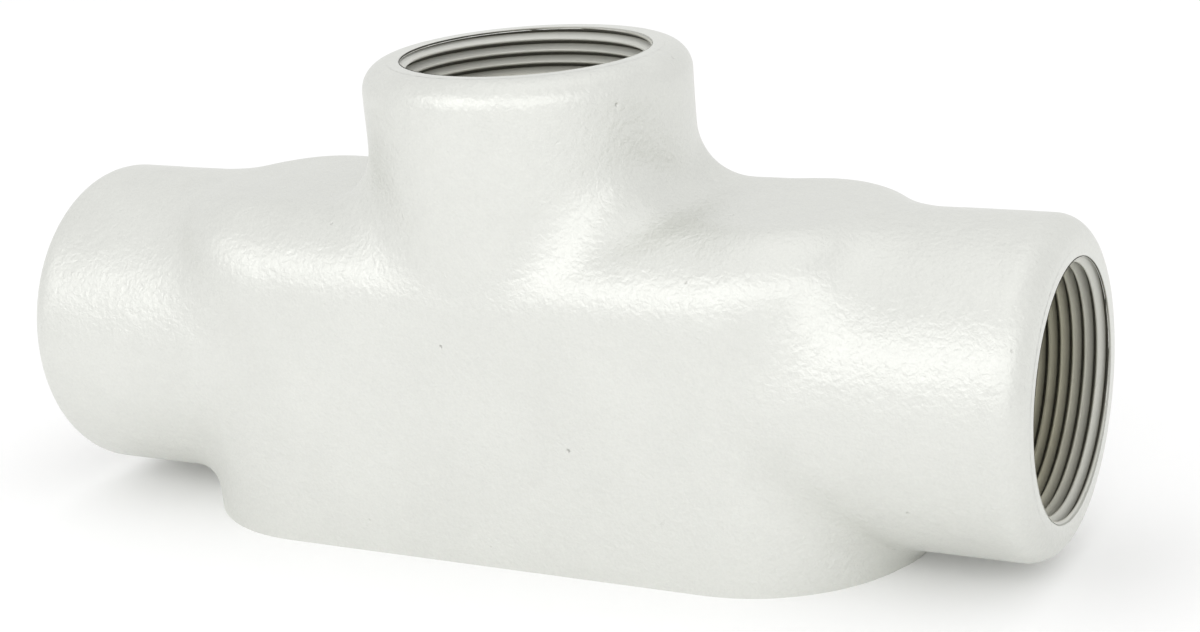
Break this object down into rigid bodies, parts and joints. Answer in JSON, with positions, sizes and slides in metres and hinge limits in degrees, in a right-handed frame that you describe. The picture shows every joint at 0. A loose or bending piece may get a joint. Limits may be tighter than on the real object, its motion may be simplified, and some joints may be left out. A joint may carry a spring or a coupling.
{
  "type": "conduit body",
  "caption": "Cast conduit body with two threaded hubs in line, a third threaded hub on its back, and an open cover face with tapped lugs.",
  "frame": {"origin": "middle of the cover opening, in the plane of its rim", "axes": "+X along the run through the two end hubs, +Z out of the back hub, +Y across the body"},
  "size_m": [0.206, 0.062, 0.0904],
  "materials": {
    "casting": "sand-cast iron under a satin aluminium paint"
  },
  "bodies": {
    "root": {"body_casting": "casting"}
  },
  "joints": []
}
